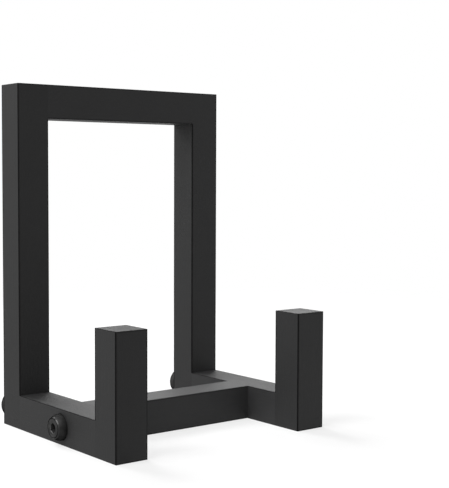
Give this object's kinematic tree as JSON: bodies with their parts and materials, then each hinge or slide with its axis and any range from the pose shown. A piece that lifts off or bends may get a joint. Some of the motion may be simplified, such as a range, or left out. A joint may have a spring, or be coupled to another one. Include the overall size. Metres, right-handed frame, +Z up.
{
  "type": "record display stand",
  "caption": "Black square-bar desk stand: an open back frame, two side rails with short front posts and a low cross rail, bolted together, to hold a record or book upright.",
  "frame": {"origin": "on the floor, at the middle of the whole stand's bounding box, bolt heads included", "axes": "+Z up, -Y towards the front where the two short posts stand, +X to the stand's right as seen from the front"},
  "size_m": [0.157, 0.1284, 0.202],
  "materials": {
    "black_paint": "satin black paint on hardwood",
    "bolt_steel": "black coated steel, satin, with a shine on the dome's shoulder",
    "insert_steel": "zinc plated steel",
    "dowel_wood": "bare beech"
  },
  "bodies": {
    "root": {"left_upright": "black_paint", "right_upright": "black_paint", "top_rail": "black_paint", "left_base_rail": "black_paint", "right_base_rail": "black_paint", "left_front_post": "black_paint", "right_front_post": "black_paint", "cross_rail": "black_paint", "left_side_bolt": "bolt_steel", "right_side_bolt": "bolt_steel", "left_rear_bolt": "bolt_steel", "right_rear_bolt": "bolt_steel", "left_cross_insert": "insert_steel", "right_cross_insert": "insert_steel", "left_rear_insert": "insert_steel", "right_rear_insert": "insert_steel", "top_left_dowel_front": "dowel_wood", "top_left_dowel_rear": "dowel_wood", "top_right_dowel_front": "dowel_wood", "top_right_dowel_rear": "dowel_wood", "left_post_dowel_outer": "dowel_wood", "left_post_dowel_inner": "dowel_wood", "right_post_dowel_outer": "dowel_wood", "right_post_dowel_inner": "dowel_wood"}
  },
  "joints": []
}
